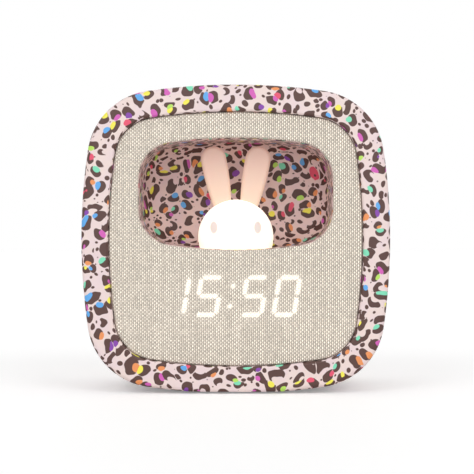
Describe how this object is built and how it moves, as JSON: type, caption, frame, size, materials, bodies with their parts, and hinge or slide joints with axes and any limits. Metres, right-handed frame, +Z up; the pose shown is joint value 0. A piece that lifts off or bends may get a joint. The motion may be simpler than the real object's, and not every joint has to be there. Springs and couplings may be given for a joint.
{
  "type": "alarm clock with night light",
  "caption": "Rounded-square bedside alarm clock with a fabric front, a digit display behind it, and a hollow holding a glowing rabbit night light.",
  "frame": {"origin": "on the table under the middle of the case", "axes": "+X to the right seen from the front, +Y from the front to the back, +Z up"},
  "size_m": [0.15, 0.072, 0.1501],
  "materials": {
    "printed_shell": "satin plastic with a leopard print over pale pink",
    "printed_bowl": "satin plastic with the same print",
    "linen_fabric": "plain woven linen-look cloth",
    "panel_plastic": "moulded",
    "cover_plastic": "fine grained moulded plastic",
    "button_plastic": "smooth satin",
    "foot_rubber": "soft grey rubber",
    "rabbit_milk": "translucent milk-white plastic, lit from inside",
    "rabbit_ear": "translucent peach plastic",
    "inner_white": "moulded",
    "circuit_board": "solder mask",
    "led_package": "light emitting diode",
    "bar_lit": "glowing diffuser",
    "bar_dark": "unlit diffuser",
    "switch_black": "moulded",
    "switch_metal": "formed sheet",
    "can_metal": "sleeve",
    "battery_wrap": "foil pouch",
    "foam": "foam",
    "speaker_metal": "black basket and magnet",
    "wire_skin": "insulation",
    "ribbon": "flat ribbon",
    "screw_steel": "zinc plated"
  },
  "bodies": {
    "clock_case": {"front_housing": "printed_shell", "niche_bowl": "printed_bowl", "fabric_cover": "linen_fabric", "front_panel": "panel_plastic", "rear_cover": "cover_plastic", "foot_front": "foot_rubber", "foot_rear": "foot_rubber", "rabbit_head": "rabbit_milk", "rabbit_ear_left": "rabbit_ear", "rabbit_ear_right": "rabbit_ear", "lamp_holder": "inner_white", "lamp_board": "circuit_board", "lamp_leds": "led_package", "display_reflector": "inner_white", "display_bars_lit": "bar_lit", "display_bars_dark": "bar_dark", "display_leds": "led_package", "display_board": "circuit_board", "push_switches": "switch_black", "slide_switch": "switch_metal", "power_socket": "switch_metal", "main_board": "circuit_board", "board_chips": "switch_black", "capacitors": "can_metal", "board_connectors": "inner_white", "battery_pack": "battery_wrap", "battery_tape": "foam", "speaker": "speaker_metal", "speaker_gasket": "foam", "lamp_wires": "wire_skin", "speaker_wires": "wire_skin", "battery_wires": "wire_skin", "display_ribbon": "ribbon", "panel_screws": "screw_steel", "bowl_screws": "screw_steel", "display_screws": "screw_steel", "lamp_screws": "screw_steel", "lamp_board_screws": "screw_steel", "board_screws": "screw_steel", "cover_screws": "screw_steel", "speaker_screws": "screw_steel"},
    "button_minus": {"button_minus": "button_plastic", "plunger_minus": "switch_black"},
    "button_light": {"button_light": "button_plastic", "plunger_light": "switch_black"},
    "button_plus": {"button_plus": "button_plastic", "plunger_plus": "switch_black"},
    "button_time": {"button_time": "button_plastic", "plunger_time": "switch_black"},
    "button_alarm": {"button_alarm": "button_plastic", "plunger_alarm": "switch_black"},
    "alarm_slide": {"alarm_knob": "button_plastic", "slide_lever": "switch_black"}
  },
  "joints": [
    {"name": "press_minus", "type": "slide", "parent": "clock_case", "child": "button_minus", "axis": [0, -1, 0], "range_m": [0, 0.0007], "stiffness_N_per_m": 900},
    {"name": "press_light", "type": "slide", "parent": "clock_case", "child": "button_light", "axis": [0, -1, 0], "range_m": [0, 0.0007], "stiffness_N_per_m": 900},
    {"name": "press_plus", "type": "slide", "parent": "clock_case", "child": "button_plus", "axis": [0, -1, 0], "range_m": [0, 0.0007], "stiffness_N_per_m": 900},
    {"name": "press_time", "type": "slide", "parent": "clock_case", "child": "button_time", "axis": [0, -1, 0], "range_m": [0, 0.0007], "stiffness_N_per_m": 900},
    {"name": "press_alarm", "type": "slide", "parent": "clock_case", "child": "button_alarm", "axis": [0, -1, 0], "range_m": [0, 0.0007], "stiffness_N_per_m": 900},
    {"name": "slide_alarm", "type": "slide", "parent": "clock_case", "child": "alarm_slide", "axis": [1, 0, 0], "range_m": [0, 0.003]}
  ]
}
